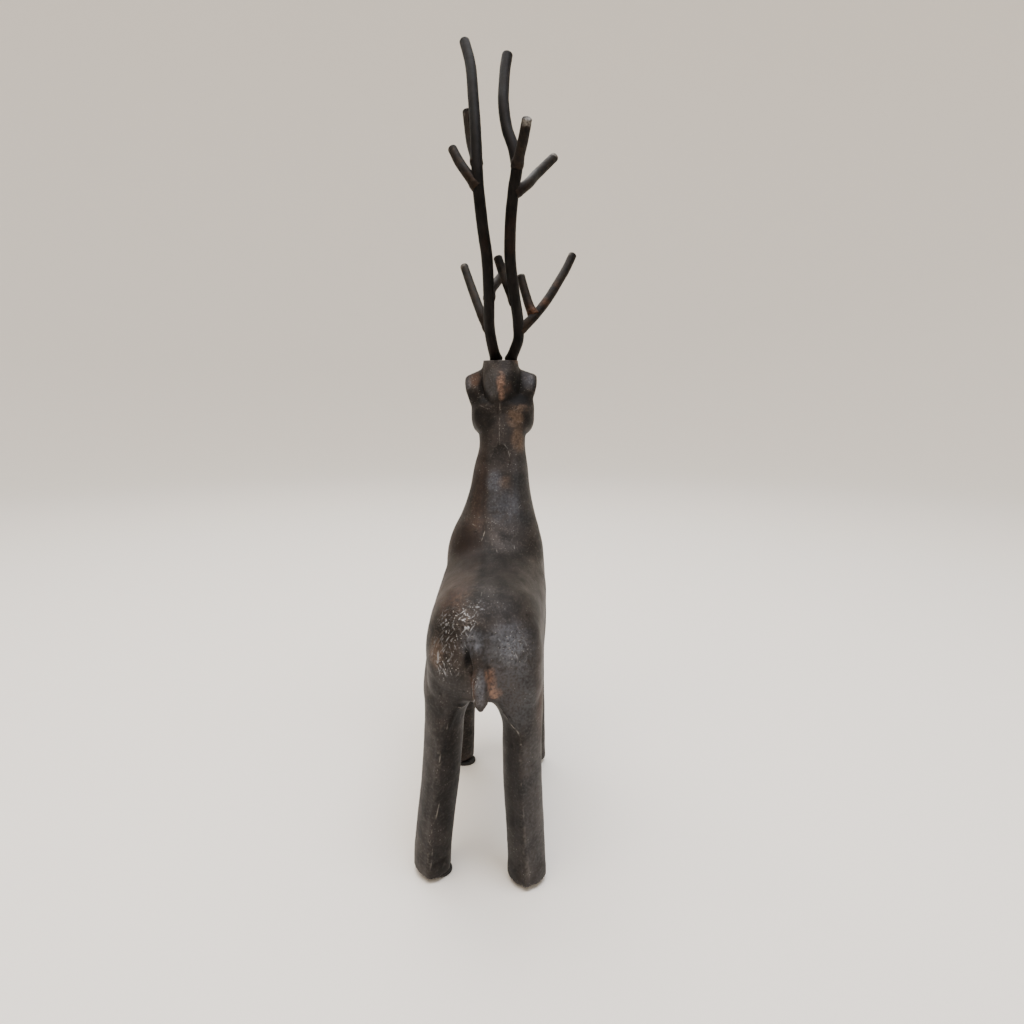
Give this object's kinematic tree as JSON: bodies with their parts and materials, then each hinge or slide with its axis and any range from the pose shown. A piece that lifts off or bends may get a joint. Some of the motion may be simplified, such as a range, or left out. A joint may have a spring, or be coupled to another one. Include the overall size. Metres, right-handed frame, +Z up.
{
  "type": "cast iron reindeer figurine with bent rod antlers",
  "caption": "Standing reindeer ornament: a solid iron casting on small round pads, with antlers of bent steel rod welded to the flat top of its head.",
  "frame": {"origin": "middle of the whole model's box, at floor level, under the feet", "axes": "+Z up along the antlers, the reindeer faces -Y and its left side is +X"},
  "size_m": [0.058, 0.1538, 0.3074],
  "materials": {
    "cast_iron_body": "sand-cast iron, brown-black patina with a bluish sheen where it is smooth, pitted and hammered on the haunches, rust-orange patches beside the tail and on the poll",
    "antler_rod": "blackened steel rod, brown near the welds, worn bright on the cut ends",
    "foot_pad": "matte black"
  },
  "bodies": {
    "root": {"cast_body": "cast_iron_body", "left_antler_beam": "antler_rod", "left_brow_tine": "antler_rod", "left_inner_tine": "antler_rod", "left_rear_tine": "antler_rod", "left_outer_tine": "antler_rod", "right_antler_beam": "antler_rod", "right_brow_tine": "antler_rod", "right_brow_fork": "antler_rod", "right_inner_tine": "antler_rod", "right_front_tine": "antler_rod", "right_outer_tine": "antler_rod", "left_hind_pad": "foot_pad", "right_hind_pad": "foot_pad", "left_front_pad": "foot_pad", "right_front_pad": "foot_pad"}
  },
  "joints": []
}
